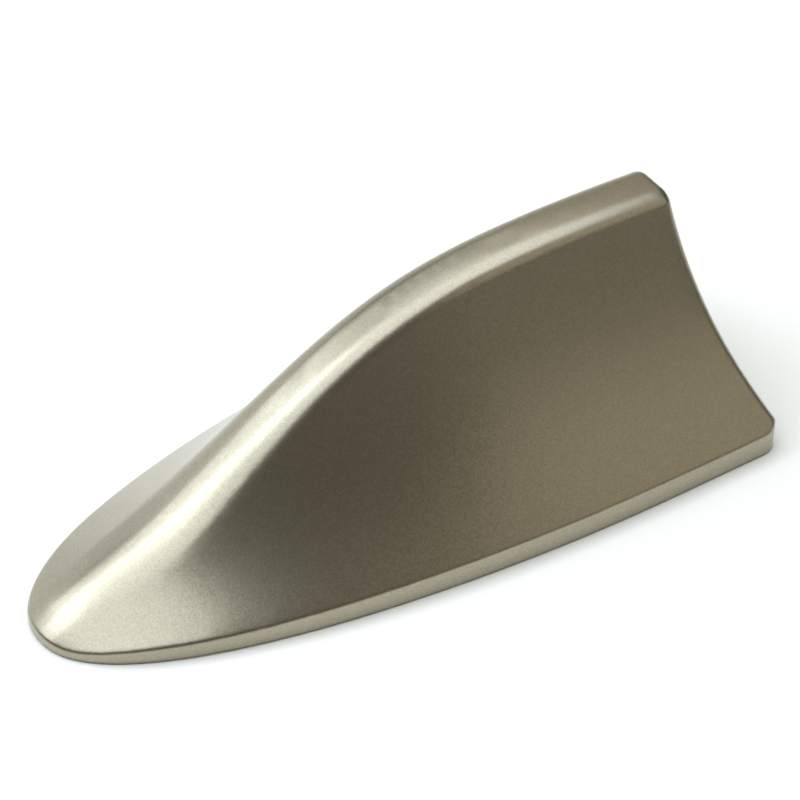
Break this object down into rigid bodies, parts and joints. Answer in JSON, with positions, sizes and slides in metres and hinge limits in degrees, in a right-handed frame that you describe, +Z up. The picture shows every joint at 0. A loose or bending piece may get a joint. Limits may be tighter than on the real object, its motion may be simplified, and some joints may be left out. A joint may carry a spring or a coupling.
{
  "type": "shark fin aerial",
  "caption": "Shark fin roof aerial: painted fin cover with a thin rim, on a base plate with a foam pad, over an amplifier board and a wound coil.",
  "frame": {"origin": "middle of the base outline, on the roof plane under the foam pad", "axes": "+X runs from the nose to the tail, +Y across, +Z up from the roof"},
  "size_m": [0.165, 0.076, 0.0552],
  "materials": {
    "painted_cover": "metallic champagne paint under clear lacquer",
    "black_abs": "fine moulded grain",
    "foam_pad": "matt acrylic foam",
    "black_rubber": "matt rubber",
    "zinc_steel": "bright zinc",
    "circuit_board": "solder mask",
    "white_abs": "plain moulded",
    "copper": "bright copper ribbon",
    "tinned_sheet": "tinned sheet",
    "chip_resin": "moulded resin",
    "ceramic": "fired ceramic",
    "resistor_black": "glazed",
    "ferrite": "sintered ferrite",
    "can_aluminium": "drawn can",
    "gilt_brass": "gilt"
  },
  "bodies": {
    "root": {"fin_cover": "painted_cover", "base_plate": "black_abs", "adhesive_pad": "foam_pad", "base_seal": "black_rubber", "lead_grommet": "black_rubber", "base_screws": "zinc_steel", "amplifier_board": "circuit_board", "board_screws": "zinc_steel", "coil_post": "white_abs", "aerial_coil": "copper", "roof_plate": "tinned_sheet", "hat_screw": "zinc_steel", "amplifier_chip": "chip_resin", "chip_capacitors": "ceramic", "chip_resistors": "resistor_black", "choke_coils": "ferrite", "supply_capacitor": "can_aluminium", "signal_socket": "gilt_brass"}
  },
  "joints": []
}
